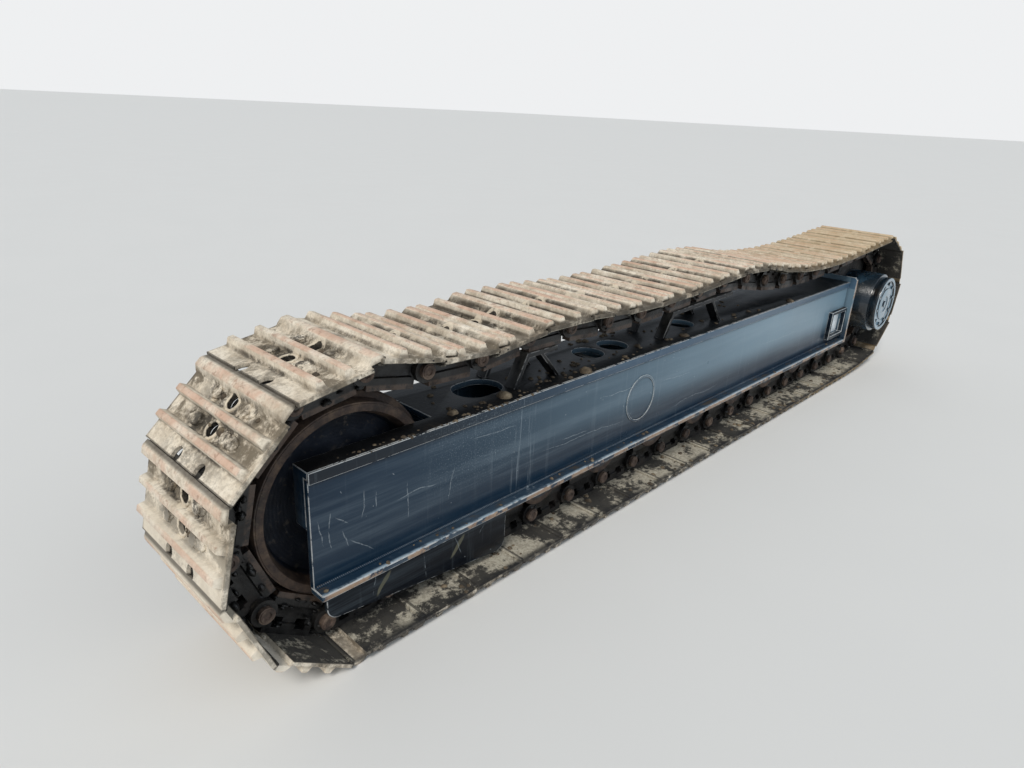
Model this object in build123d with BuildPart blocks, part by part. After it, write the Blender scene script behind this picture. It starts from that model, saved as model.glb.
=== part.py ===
"""One crawler track unit of a tracked screening plant: beam, chain and shoes, idler, sprocket, rollers.

Millimetres. +X runs along the track towards the sprocket, -Y is the outer side, +Z is up.
The origin lies under the middle of the unit, on the ground.
"""
import os
from math import acos, asin, atan2, ceil, cos, degrees, hypot, pi, sin, sqrt

from build123d import *

# Chain and shoes
pitch = 140.0
link_count = 46
rail_below_pin = 38.0
seat_above_pin = 38.7
rail_spacing = 90.0
rail_width = 22.0
pin_radius = 16.0
pin_length = 151.0
pin_sides = 10
link_end_gap = 0.15
shoe_width = 300.0
shoe_plate = 8.0
grouser_height = 16.0
grouser_crest = 11.0
grouser_foot = 21.0
grouser_spacing = 52.8
shoe_lead = 57.0
lip_past_pin = 24.0
hook_clearance = 2.5
hook_root_clearance = 7.0
lead_wall = 9.0
lip_chamfer = 4.0
link_inset = 1.5
link_nose = 12.7

# Wheels
idler_tread_radius = 186.0
idler_tread_width = 104.0
idler_slack = 10.0
idler_flange_height = 14.0
idler_flange_width = 44.0
idler_rim = 20.0
idler_web = 26.0
idler_hub_radius = 62.0
idler_hub_width = 128.0
idler_shaft_radius = 32.0
sprocket_teeth = 19
sprocket_thickness = 40.0
sprocket_lift = 9.0
tooth_above_pitch = 4.0
tooth_clearance = 2.8
roller_count = 9
roller_tread_radius = 60.0
roller_flange_radius = 73.0
roller_flange_width = 12.0
roller_tread_width = 44.0
roller_shaft_radius = 22.0
first_roller_clearance = 14.0
last_roller_clearance = 6.0
running_gap = 0.3

# Upper run of the chain over two skids, whose crowns start behind the idler's shaft
front_skid_from_shaft = 455.0
front_skid_length = 100.0
front_skid_height = 77.0
front_skid_rise = 1.0
middle_skid_from_shaft = 1041.0
middle_skid_length = 332.0
middle_skid_height = 72.0
middle_skid_rise = 20.0
front_sag = 25.0
middle_sag = 12.0
sprocket_sag = 46.0
sprocket_sag_lean = 0.35

# Beam
beam_front_past_idler = 110.0
sprocket_clearance = 15.0
beam_height = 228.0
beam_bottom = 170.0
beam_width = 200.0
side_plate = 12.0
top_plate_thickness = 14.0
flange_thickness = 12.0
flange_width = 28.0
top_strip_height = 22.0
top_strip_proud = 4.0
idler_opening_past_tread = 2.0
gusset_height = 100.0
gusset_thickness = 10.0
end_plate_thickness = 12.0
end_plate_rise = 20.0
end_plate_corner = 9.0
flange_corner = 4.0
guard_thickness = 10.0
guard_length = 455.0
guard_front_from_shaft = 85.0
guard_front_depth = 70.0
guard_rear_depth = 122.0
guard_corner = 26.0
ring_bead_radius = 61.0
ring_bead_width = 6.0
ring_bead_height = 3.0
ring_bead_from_shaft = 860.0
ring_bead_from_bottom = 106.0

# Running gear seats
saddle_width = 84.0
saddle_top = 56.0
saddle_thickness = 13.0
idler_block_length = 120.0
idler_block_height = 96.0
idler_block_corner = 12.0
fork_arm_height = 60.0
fork_arm_thickness = 16.0
fork_clearance = 14.0
fork_bar = 26.0
rod_radius = 26.0
rod_length = 90.0
recoil_radius = 44.0
recoil_length = 420.0
stop_thickness = 16.0
skid_bar_width = 30.0
skid_bar_thickness = 12.0
skid_overhang = 116.0
front_foot_length = 40.0
rear_foot_length = 64.0

# Blank plate in its frame, and holes of the top plate
window_width = 120.0
window_height = 84.0
window_from_end = 78.0
window_from_bottom = 76.0
window_frame = 12.0
window_frame_depth = 16.0
blank_thickness = 4.0
first_hole_length = 120.0
first_hole_width = 90.0
first_hole_from_shaft = 363.0
round_hole_width = 82.0
round_holes_from_shaft = (749.0, 852.0, 1185.0)

# Final drive
drive_flange_radius = 150.0
drive_flange_thickness = 16.0
drive_housing_radius = 118.0
drive_cover_radius = 108.0
drive_cover_chamfer = 5.0
drive_cover_depth = 30.0
drive_outer_face = 178.0
motor_radius = 88.0
motor_length = 100.0
carrier_thickness = 20.0

# Chassis brackets, which reach as far inwards as the drive's cover does outwards
bracket_length = 200.0
bracket_height = 150.0
bracket_wall = 14.0
bracket_flange = 18.0
bracket_flange_length = 320.0
bracket_flange_height = 190.0
bracket_bolt_spacing_x = 260.0
bracket_bolt_spacing_z = 130.0
bracket_bolt_hole = 22.0
front_bracket_from_idler = 616.0
rear_bracket_from_sprocket = 696.0


# Running line of the chain's pins
pin_height = seat_above_pin + shoe_plate + grouser_height
idler_height = pin_height + idler_tread_radius + rail_below_pin
chain_turn_radius = idler_tread_radius + rail_below_pin + idler_slack / 2
chain_turn_height = pin_height + chain_turn_radius
idler_pin_radius = hypot(chain_turn_radius, pitch / 2)
sprocket_step = 2 * pi / sprocket_teeth
sprocket_pitch_radius = pitch / (2 * sin(sprocket_step))
sprocket_height = pin_height + sprocket_pitch_radius + sprocket_lift
sprocket_tip_radius = sprocket_pitch_radius + tooth_above_pitch
idler_step = 2 * asin(pitch / 2 / idler_pin_radius)
idler_links = ceil((pi - idler_step / 2) / idler_step)
path_step = 2.0
first_roller_from_idler = idler_tread_radius + roller_flange_radius + first_roller_clearance
beam_end_from_sprocket = sprocket_tip_radius + sprocket_clearance + end_plate_thickness
last_roller_from_sprocket = beam_end_from_sprocket + roller_flange_radius + last_roller_clearance
lift_off_from_sprocket = last_roller_from_sprocket - pitch
beam_top = beam_bottom + beam_height

# Skids: name, start behind the idler's shaft, length, height over the beam, rise, sag of the span before
front_row = (front_skid_from_shaft, front_skid_length, front_skid_height, front_skid_rise, front_sag)
middle_row = (middle_skid_from_shaft, middle_skid_length, middle_skid_height, middle_skid_rise, middle_sag)
skid_rows = (("front_skid", *front_row), ("middle_skid", *middle_row))


def idler_pins(idler_x):
    """Pins on the idler, from the rear end of its bottom link round the front to the top."""
    first = -pi / 2 + idler_step / 2
    pins = []
    for k in range(idler_links + 2):
        a = first - k * idler_step
        pins.append((idler_x + idler_pin_radius * cos(a), chain_turn_height + idler_pin_radius * sin(a)))
    return pins


def upper_knots(idler_x, sprocket_x):
    """Knots of the upper run, each with the sag and the lean of the span that ends there."""
    top_x, top_z = idler_pins(idler_x)[-1]
    knots = [(top_x, top_z, 0.0, 0.0)]
    for _, start, length, height, rise, sag in skid_rows:
        crown_pin = beam_top + height + rail_below_pin
        knots.append((idler_x + start, crown_pin, sag, 0.0))
        knots.append((idler_x + start + length, crown_pin + rise, 0.0, 0.0))
    knots.append((sprocket_x, sprocket_height + sprocket_pitch_radius, sprocket_sag, sprocket_sag_lean))
    return knots


def running_line(idler_x, sprocket_x):
    """Points along the chain from the idler's top over the sprocket and back along the ground."""
    points = []
    knots = upper_knots(idler_x, sprocket_x)
    for (x0, z0, _, _), (x1, z1, sag, lean) in zip(knots, knots[1:]):
        steps = ceil((x1 - x0) / path_step)
        for i in range(steps):
            t = i / steps
            hang = 4 * sag * t * (1 - t) * (1 + lean * (1 - 2 * t))
            points.append((x0 + (x1 - x0) * t, z0 + (z1 - z0) * t - hang))
    rise = sprocket_height - pin_height
    leave = atan2(-rise, -lift_off_from_sprocket)
    leave += acos(sprocket_pitch_radius / hypot(rise, lift_off_from_sprocket))
    steps = ceil((pi / 2 - leave) * sprocket_pitch_radius / path_step)
    for i in range(steps + 1):
        a = pi / 2 + (leave - pi / 2) * i / steps
        x = sprocket_x + sprocket_pitch_radius * cos(a)
        points.append((x, sprocket_height + sprocket_pitch_radius * sin(a)))
    points.append((sprocket_x - lift_off_from_sprocket, pin_height))
    points.append((idler_x - link_count * pitch, pin_height))
    return points


def next_pin(points, start, place):
    """The next point of the line one pitch from the place, and the line's piece that holds it."""
    for i in range(start, len(points) - 1):
        (x0, z0), (x1, z1) = points[i], points[i + 1]
        if hypot(x1 - place[0], z1 - place[1]) >= pitch:
            dx, dz = x1 - x0, z1 - z0
            ex, ez = x0 - place[0], z0 - place[1]
            a = dx * dx + dz * dz
            b = 2 * (dx * ex + dz * ez)
            c = ex * ex + ez * ez - pitch * pitch
            t = (-b + sqrt(max(0.0, b * b - 4 * a * c))) / (2 * a)
            return i, (x0 + dx * t, z0 + dz * t)
    raise ValueError("the running line is shorter than the chain")


def chain_pins(idler_x, sprocket_x):
    """All pins in order: round the idler to its top, over the sprocket, back along the ground."""
    pins = idler_pins(idler_x)
    points = running_line(idler_x, sprocket_x)
    piece = 0
    while len(pins) < link_count + 1:
        piece, place = next_pin(points, piece, pins[-1])
        pins.append(place)
    return pins


def closing_error(wheelbase):
    """How far the last pin ends past the first one along the ground."""
    pins = chain_pins(0.0, wheelbase)
    return pins[0][0] - pins[-1][0]


# The tensioner sets the wheelbase at which the chain closes
low, high = pitch * (link_count / 2 - 10), pitch * (link_count / 2 - 3)
for _ in range(50):
    wheelbase = (low + high) / 2
    if closing_error(wheelbase) > 0:
        low = wheelbase
    else:
        high = wheelbase

# Links in the order of the shoes' travel: back over the top, down the idler, forward on the ground
def link_frames(pins):
    """Middle and direction of each link, seen from the outer side."""
    ordered = pins[::-1]
    return [
        ((x0 + x1) / 2, (z0 + z1) / 2, atan2(z1 - z0, x1 - x0))
        for (x0, z0), (x1, z1) in zip(ordered, ordered[1:])
    ]


# Side outline of a shoe: along the link, and outwards from the pins
crest = seat_above_pin + shoe_plate + grouser_height
face = seat_above_pin + shoe_plate
lip_end = pitch / 2 + lip_past_pin
hook_height = hypot(lip_past_pin, face) + hook_clearance
hook_root = lip_end - pitch + hook_root_clearance
lead_bottom = sqrt(hook_height**2 - (pitch / 2 - shoe_lead) ** 2)
shoe_outline = [
    (hook_root, seat_above_pin),
    (hook_root, face + hook_clearance),
    (-shoe_lead, lead_bottom),
    (-shoe_lead, crest),
    (-shoe_lead + grouser_crest, crest),
    (hook_root + lead_wall, face),
]
for k in (1, 2):
    middle = -shoe_lead + grouser_crest / 2 + k * grouser_spacing
    shoe_outline += [
        (middle - grouser_foot / 2, face),
        (middle - grouser_crest / 2, crest),
        (middle + grouser_crest / 2, crest),
        (middle + grouser_foot / 2, face),
    ]
shoe_outline += [(lip_end - lip_chamfer, face), (lip_end, seat_above_pin)]


def shoe_ends(frames):
    """Least and greatest X that the shoes reach."""
    xs = [x + u * cos(a) + n * sin(a) for x, _, a in frames for u, n in shoe_outline]
    return min(xs), max(xs)


# The unit's middle, grousers included, stands over the origin
front_reach, rear_reach = shoe_ends(link_frames(chain_pins(0.0, wheelbase)))
idler_x = -(front_reach + rear_reach) / 2
sprocket_x = idler_x + wheelbase
loop_pins = chain_pins(idler_x, sprocket_x)
links = link_frames(loop_pins)
link_places = [Location((x, 0, z), (0, -degrees(a), 0)) for x, z, a in links]
first_roller_x = idler_x + first_roller_from_idler
roller_spacing = (sprocket_x - last_roller_from_sprocket - first_roller_x) / (roller_count - 1)
roller_xs = [first_roller_x + k * roller_spacing for k in range(roller_count)]
rail_top = pin_height + rail_below_pin
roller_height = rail_top + roller_tread_radius + running_gap
beam_left = idler_x - beam_front_past_idler
beam_right = sprocket_x - beam_end_from_sprocket
beam_length = beam_right - beam_left
beam_middle = (beam_left + beam_right) / 2
web_inside = beam_width / 2 - side_plate
window_x = beam_right - window_from_end
window_z = beam_bottom + window_from_bottom
drive_cover_edge = drive_cover_depth - drive_outer_face
SIDE = Plane(origin=(0, 0, 0), x_dir=(1, 0, 0), z_dir=(0, -1, 0))
OUTWARD = Plane(origin=(0, 0, 0), x_dir=(1, 0, 0), z_dir=(0, 1, 0))
os.makedirs("parts", exist_ok=True)


def keep(node, name):
    """Name a finished piece and write it."""
    node.part.label = name
    export_step(node.part, f"parts/{name}.step")


def side_plane(y):
    """Plane of a lengthwise plate: X along it, Z up, facing the outer side."""
    return SIDE.offset(-y)


# Shoes, links and pins of the chain
with BuildPart() as shoe:
    with BuildSketch(OUTWARD.offset(-shoe_width / 2)):
        with BuildLine():
            Polyline(*shoe_outline, close=True)
        make_face()
    extrude(amount=shoe_width)

with BuildPart() as track_shoes:
    with Locations(*link_places):
        add(shoe.part)
keep(track_shoes, "track_shoes")

bar_end = pitch / 2 - pin_radius - link_end_gap
bar_outline = [
    (hook_root + link_inset, seat_above_pin),
    (bar_end, seat_above_pin),
    (bar_end, -rail_below_pin),
    (link_nose - bar_end, -rail_below_pin),
    (-bar_end, 0),
]
with BuildPart() as bar:
    with BuildSketch(OUTWARD.offset(-rail_width / 2)):
        with BuildLine():
            Polyline(*bar_outline, close=True)
        make_face()
    extrude(amount=rail_width)

for side, name in ((-1, "outer_links"), (1, "inner_links")):
    strand_places = [place * Location((0, side * rail_spacing / 2, 0)) for place in link_places]
    with BuildPart() as strand:
        with Locations(*strand_places):
            add(bar.part)
    keep(strand, name)

with BuildPart() as track_pins:
    for x, z in loop_pins[:-1]:
        with BuildSketch(Plane(origin=(x, -pin_length / 2, z), x_dir=(1, 0, 0), z_dir=(0, 1, 0))):
            RegularPolygon(pin_radius, pin_sides, rotation=180 / pin_sides)
        extrude(amount=pin_length)
keep(track_pins, "track_pins")


# Beam: two side plates, a top plate and flanges along the bottom edges
for side, name in ((-1, "outer_side_plate"), (1, "inner_side_plate")):
    inner_face = side * web_inside
    with BuildPart() as web:
        with BuildSketch(side_plane(min(inner_face, inner_face + side * side_plate) + side_plate)):
            with Locations((beam_middle, beam_bottom + (beam_height - top_plate_thickness) / 2)):
                Rectangle(beam_length, beam_height - top_plate_thickness)
            if side < 0:
                with Locations((window_x, window_z)):
                    Rectangle(window_width, window_height, mode=Mode.SUBTRACT)
        extrude(amount=side_plate)
    keep(web, name)

# The top plate leaves the idler free and turns down in a gusset on each side of it
opening_end = idler_x + idler_tread_radius + idler_opening_past_tread
opening_half = idler_tread_width / 2 + idler_opening_past_tread
gusset_top = beam_top - top_plate_thickness
with BuildPart() as top_plate:
    with BuildSketch(Plane.XY.offset(gusset_top)):
        with Locations((beam_middle, 0)):
            Rectangle(beam_length, beam_width)
        with Locations(((beam_left + opening_end) / 2, 0)):
            Rectangle(opening_end - beam_left, 2 * opening_half, mode=Mode.SUBTRACT)
        with Locations((idler_x + first_hole_from_shaft, 0)):
            SlotOverall(first_hole_length, first_hole_width, mode=Mode.SUBTRACT)
        with Locations(*[(idler_x + x, 0) for x in round_holes_from_shaft]):
            Circle(round_hole_width / 2, mode=Mode.SUBTRACT)
    extrude(amount=top_plate_thickness)
    with BuildSketch(Plane.YZ.offset(beam_left)):
        for side in (-1, 1):
            with Locations((side * (web_inside + opening_half) / 2, gusset_top - gusset_height / 2)):
                Rectangle(web_inside - opening_half, gusset_height)
    extrude(amount=gusset_thickness)
keep(top_plate, "top_plate")

for side, name in ((-1, "outer_bottom_flange"), (1, "inner_bottom_flange")):
    with BuildPart() as flange:
        with BuildSketch(Plane.XY.offset(beam_bottom - flange_thickness)):
            with Locations((beam_middle, side * (web_inside + (side_plate + flange_width) / 2))):
                Rectangle(beam_length, side_plate + flange_width)
        extrude(amount=flange_thickness)
        fillet(flange.edges().filter_by(Axis.Z), flange_corner)
    keep(flange, name)

for side, name in ((-1, "outer_top_strip"), (1, "inner_top_strip")):
    strip_y = side * (beam_width / 2 + top_strip_proud / 2)
    with BuildPart() as strip:
        with BuildSketch(Plane.XY.offset(beam_top - top_strip_height)):
            with Locations((beam_middle, strip_y)):
                Rectangle(beam_length, top_strip_proud)
        extrude(amount=top_strip_height)
    keep(strip, name)

end_plate_height = beam_height + flange_thickness + end_plate_rise
with BuildPart() as end_plate:
    with BuildSketch(Plane.YZ.offset(beam_right)) as end_outline:
        with Locations((0, beam_bottom - flange_thickness + end_plate_height / 2)):
            Rectangle(beam_width + 2 * flange_width, end_plate_height)
        chamfer(end_outline.vertices().group_by(Axis.Y)[-1], end_plate_corner)
    extrude(amount=end_plate_thickness)
keep(end_plate, "end_plate")

# Rock guards over the lower chain behind the idler, one outside each side plate
guard_top = beam_bottom - flange_thickness
guard_left = idler_x - guard_front_from_shaft
guard_right = guard_left + guard_length
for side, name in ((-1, "outer_guard"), (1, "inner_guard")):
    guard_face = side * web_inside
    with BuildPart() as guard:
        with BuildSketch(side_plane(max(guard_face, guard_face + side * guard_thickness))) as guard_outline:
            with BuildLine():
                Polyline(
                    (guard_left, guard_top),
                    (guard_left, guard_top - guard_front_depth),
                    (guard_right, guard_top - guard_rear_depth),
                    (guard_right, guard_top),
                    close=True,
                )
            make_face()
            fillet(guard_outline.vertices().sort_by(Axis.Y)[:2], guard_corner)
        extrude(amount=guard_thickness)
    keep(guard, name)

# Grease hole plug in the outer side plate
with BuildPart() as plug_bead:
    with BuildSketch(side_plane(-beam_width / 2)):
        with Locations((idler_x + ring_bead_from_shaft, beam_bottom + ring_bead_from_bottom)):
            Circle(ring_bead_radius + ring_bead_width / 2)
            Circle(ring_bead_radius - ring_bead_width / 2, mode=Mode.SUBTRACT)
    extrude(amount=ring_bead_height)
keep(plug_bead, "plug_bead")

# Framed blank plate let into the outer side plate
with BuildPart() as plate_frame:
    with BuildSketch(side_plane(-beam_width / 2)):
        with Locations((window_x, window_z)):
            Rectangle(window_width + 2 * window_frame, window_height + 2 * window_frame)
            Rectangle(window_width, window_height, mode=Mode.SUBTRACT)
    extrude(amount=window_frame_depth)
keep(plate_frame, "plate_frame")
with BuildPart() as blank_plate:
    with BuildSketch(side_plane(-web_inside)):
        with Locations((window_x, window_z)):
            Rectangle(window_width, window_height)
    extrude(amount=blank_thickness)
keep(blank_plate, "blank_plate")


def wheel_plane(x, z):
    """Plane through a wheel's shaft: across the track, and outwards from the shaft."""
    return Plane(origin=(x, 0, z), x_dir=(0, 1, 0), z_dir=(1, 0, 0))


def shaft_axis(x, z):
    """Axis of a wheel across the track."""
    return Axis((x, 0, z), (0, 1, 0))


# Idler with its shaft, sliding blocks, fork and recoil cylinder
tread_half = idler_tread_width / 2
flange_half = idler_flange_width / 2
hub_half = idler_hub_width / 2
rim_inside = idler_tread_radius - idler_rim
half_idler = [
    (flange_half, idler_tread_radius + idler_flange_height),
    (flange_half, idler_tread_radius),
    (tread_half, idler_tread_radius),
    (tread_half, rim_inside),
    (idler_web / 2, rim_inside - idler_rim / 2),
    (idler_web / 2, idler_hub_radius + idler_rim / 2),
    (hub_half, idler_hub_radius),
    (hub_half, idler_shaft_radius + running_gap),
]
with BuildPart() as idler:
    with BuildSketch(wheel_plane(idler_x, idler_height)):
        with BuildLine():
            Polyline(*half_idler, *[(-y, r) for y, r in reversed(half_idler)], close=True)
        make_face()
    revolve(axis=shaft_axis(idler_x, idler_height))
keep(idler, "idler")

with BuildPart() as idler_shaft:
    with BuildSketch(side_plane(web_inside)):
        with Locations((idler_x, idler_height)):
            Circle(idler_shaft_radius)
    extrude(amount=2 * web_inside)
keep(idler_shaft, "idler_shaft")

block_thickness = web_inside - hub_half - running_gap
for side, name in ((-1, "outer_idler_block"), (1, "inner_idler_block")):
    with BuildPart() as block:
        with BuildSketch(side_plane(max(side * web_inside, side * (web_inside - block_thickness)))):
            with Locations((idler_x, idler_height)):
                RectangleRounded(idler_block_length, idler_block_height, idler_block_corner)
                Circle(idler_shaft_radius + running_gap, mode=Mode.SUBTRACT)
        extrude(amount=block_thickness)
    keep(block, name)

fork_start = idler_x + idler_block_length / 2
fork_end = idler_x + idler_tread_radius + idler_flange_height + fork_clearance + fork_bar
with BuildPart() as tension_fork:
    with BuildSketch(Plane.XY.offset(idler_height - fork_arm_height / 2)):
        with BuildLine():
            Polyline(
                (fork_start, -web_inside),
                (fork_end, -web_inside),
                (fork_end, web_inside),
                (fork_start, web_inside),
                (fork_start, web_inside - fork_arm_thickness),
                (fork_end - fork_bar, web_inside - fork_arm_thickness),
                (fork_end - fork_bar, fork_arm_thickness - web_inside),
                (fork_start, fork_arm_thickness - web_inside),
                close=True,
            )
        make_face()
    extrude(amount=fork_arm_height)
keep(tension_fork, "tension_fork")

with BuildPart() as recoil_cylinder:
    with BuildSketch(Plane.YZ.offset(fork_end)):
        with Locations((0, idler_height)):
            Circle(rod_radius)
    extrude(amount=rod_length)
    with BuildSketch(Plane.YZ.offset(fork_end + rod_length)):
        with Locations((0, idler_height)):
            Circle(recoil_radius)
    extrude(amount=recoil_length)
keep(recoil_cylinder, "recoil_cylinder")

stop_x = fork_end + rod_length + recoil_length
stop_bottom = roller_height + roller_flange_radius + skid_bar_thickness
with BuildPart() as recoil_stop:
    with BuildSketch(Plane.YZ.offset(stop_x)):
        with Locations((0, (stop_bottom + beam_top - top_plate_thickness) / 2)):
            Rectangle(2 * web_inside, beam_top - top_plate_thickness - stop_bottom)
    extrude(amount=stop_thickness)
keep(recoil_stop, "recoil_stop")

# Bottom rollers on their shafts, held by saddles inside the side plates
saddle_inside = web_inside - saddle_thickness
flange_outside = saddle_inside - running_gap
half_roller = [
    (roller_tread_width + roller_flange_width / 2 + rail_width / 2, roller_tread_radius),
    (roller_tread_width + roller_flange_width / 2 + rail_width / 2, roller_flange_radius),
    (flange_outside, roller_flange_radius),
    (flange_outside, roller_shaft_radius + running_gap),
]
for k, x in enumerate(roller_xs):
    with BuildPart() as roller:
        with BuildSketch(wheel_plane(x, roller_height)):
            with BuildLine():
                Polyline(*half_roller, *[(-y, r) for y, r in reversed(half_roller)], close=True)
            make_face()
        revolve(axis=shaft_axis(x, roller_height))
    keep(roller, f"roller_{k + 1}")

with BuildPart() as roller_shafts:
    with BuildSketch(side_plane(web_inside)):
        with Locations(*[(x, roller_height) for x in roller_xs]):
            Circle(roller_shaft_radius)
    extrude(amount=2 * web_inside)
keep(roller_shafts, "roller_shafts")

saddle_height = saddle_top + beam_bottom - roller_height
with BuildPart() as roller_saddles:
    for y in (web_inside, -saddle_inside):
        with BuildSketch(side_plane(y)):
            for x in roller_xs:
                with Locations((x, roller_height + saddle_height / 2)):
                    Rectangle(saddle_width, saddle_height)
                with Locations((x, roller_height)):
                    Circle(saddle_width / 2)
            with Locations(*[(x, roller_height) for x in roller_xs]):
                Circle(roller_shaft_radius + running_gap, mode=Mode.SUBTRACT)
        extrude(amount=saddle_thickness)
keep(roller_saddles, "roller_saddles")


def rail_height(x):
    """Height of the rails' lower face over a place on the beam."""
    heights = []
    for mid_x, mid_z, a in links:
        if abs(x - mid_x) <= pitch / 2 and mid_z > idler_height:
            heights.append(mid_z + (x - mid_x) * sin(a) / cos(a) - rail_below_pin / abs(cos(a)))
    return min(heights)


# Skids that carry the upper run, one bent bar under each rail, with a free end over the rear leg
for name, start, length, *_ in skid_rows:
    crown_start = idler_x + start
    crown_end = crown_start + length
    leg = crown_end - min(skid_overhang, length / 2)
    start_top = rail_height(crown_start) - running_gap
    end_top = rail_height(crown_end) - running_gap
    leg_top = start_top + (end_top - start_top) * (leg - crown_start) / length
    half_bar = skid_bar_thickness / 2
    with BuildPart() as skid:
        for y in (rail_spacing / 2 + skid_bar_width / 2, skid_bar_width / 2 - rail_spacing / 2):
            with BuildSketch(side_plane(y)):
                with BuildLine():
                    Polyline(
                        (crown_start - front_foot_length, beam_top),
                        (crown_start, start_top),
                        (crown_end, end_top),
                        (crown_end, end_top - skid_bar_thickness),
                        (leg + half_bar, leg_top - skid_bar_thickness),
                        (leg + rear_foot_length, beam_top),
                        (leg + rear_foot_length - skid_bar_thickness, beam_top),
                        (leg - half_bar, leg_top - skid_bar_thickness),
                        (crown_start + half_bar, start_top - skid_bar_thickness),
                        (crown_start - front_foot_length + skid_bar_thickness, beam_top),
                        close=True,
                    )
                make_face()
            extrude(amount=skid_bar_width)
    keep(skid, name)

# Sprocket, phased to the pins that lie on it
on_sprocket = [
    atan2(z - sprocket_height, x - sprocket_x)
    for x, z in loop_pins
    if abs(hypot(x - sprocket_x, z - sprocket_height) - sprocket_pitch_radius) < path_step / 10
]
sprocket_phase = degrees(on_sprocket[len(on_sprocket) // 2])
with BuildPart() as sprocket:
    with BuildSketch(side_plane(sprocket_thickness / 2)):
        with Locations((sprocket_x, sprocket_height)):
            Circle(sprocket_tip_radius)
            with PolarLocations(sprocket_pitch_radius, sprocket_teeth, start_angle=sprocket_phase):
                Circle(pin_radius + tooth_clearance, mode=Mode.SUBTRACT)
            Circle(drive_housing_radius + running_gap, mode=Mode.SUBTRACT)
    extrude(amount=sprocket_thickness)
keep(sprocket, "sprocket")

hub_flange_face = sprocket_thickness / 2 + drive_flange_thickness
carrier_face = hub_flange_face + drive_flange_thickness + running_gap
with BuildPart() as drive_hub:
    with BuildSketch(wheel_plane(sprocket_x, sprocket_height)):
        with BuildLine():
            Polyline(
                (drive_cover_edge, 0),
                (drive_cover_edge, drive_housing_radius),
                (sprocket_thickness / 2, drive_housing_radius),
                (sprocket_thickness / 2, drive_flange_radius),
                (hub_flange_face, drive_flange_radius),
                (hub_flange_face, 0),
                close=True,
            )
        make_face()
    revolve(axis=shaft_axis(sprocket_x, sprocket_height))
keep(drive_hub, "drive_hub")

with BuildPart() as drive_cover:
    with BuildSketch(wheel_plane(sprocket_x, sprocket_height)):
        with BuildLine():
            Polyline(
                (drive_cover_edge, 0),
                (drive_cover_edge, drive_cover_radius),
                (drive_cover_chamfer - drive_outer_face, drive_cover_radius),
                (-drive_outer_face, drive_cover_radius - drive_cover_chamfer),
                (-drive_outer_face, 0),
                close=True,
            )
        make_face()
    revolve(axis=shaft_axis(sprocket_x, sprocket_height))
keep(drive_cover, "drive_cover")

with BuildPart() as drive_motor:
    with BuildSketch(wheel_plane(sprocket_x, sprocket_height)):
        with BuildLine():
            Polyline(
                (hub_flange_face + running_gap, 0),
                (hub_flange_face + running_gap, drive_housing_radius),
                (carrier_face, drive_housing_radius),
                (carrier_face, motor_radius),
                (carrier_face + motor_length, motor_radius),
                (carrier_face + motor_length, 0),
                close=True,
            )
        make_face()
    revolve(axis=shaft_axis(sprocket_x, sprocket_height))
keep(drive_motor, "drive_motor")

carrier_left = beam_right + end_plate_thickness
carrier_half = (beam_top - beam_bottom) / 2 - side_plate
carrier_middle = (beam_top + beam_bottom) / 2
with BuildPart() as drive_carrier:
    with BuildSketch(side_plane(carrier_face + carrier_thickness)):
        with Locations((sprocket_x, sprocket_height)):
            Circle(drive_flange_radius)
        with BuildLine():
            Polyline(
                (carrier_left, carrier_middle - carrier_half),
                (sprocket_x, sprocket_height - drive_flange_radius),
                (sprocket_x, sprocket_height + drive_flange_radius),
                (carrier_left, carrier_middle + carrier_half),
                close=True,
            )
        make_face()
        with Locations((sprocket_x, sprocket_height)):
            Circle(motor_radius + running_gap, mode=Mode.SUBTRACT)
    extrude(amount=carrier_thickness)
keep(drive_carrier, "drive_carrier")

# Brackets by which the chassis carries the track unit
bracket_z = (beam_bottom + beam_top - top_strip_height) / 2
flange_back = drive_outer_face - bracket_flange
for place, name in (
    (idler_x + front_bracket_from_idler, "front_bracket"),
    (sprocket_x - rear_bracket_from_sprocket, "rear_bracket"),
):
    with BuildPart() as bracket:
        with BuildSketch(side_plane(flange_back)):
            with Locations((place, bracket_z)):
                Rectangle(bracket_length, bracket_height)
                offset(amount=-bracket_wall, mode=Mode.SUBTRACT)
        extrude(amount=flange_back - beam_width / 2)
        with BuildSketch(side_plane(drive_outer_face)):
            with Locations((place, bracket_z)):
                Rectangle(bracket_flange_length, bracket_flange_height)
                with GridLocations(bracket_bolt_spacing_x, bracket_bolt_spacing_z, 2, 2):
                    Circle(bracket_bolt_hole / 2, mode=Mode.SUBTRACT)
        extrude(amount=bracket_flange)
    keep(bracket, name)
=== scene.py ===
"""Looks of one crawler track unit: clay-covered shoes, chain, beam, wheels and final drive.

Shapes are in millimetres until MM turns them into metres, and finishes are in metres. The frame is
the unit's own: +X along the track towards the sprocket, -Y the outer side, +Z up.
"""
import random
from math import atan2, cos, dist, hypot, pi, radians, sin

import bmesh
import bpy
from mathutils import Matrix, Vector


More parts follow.
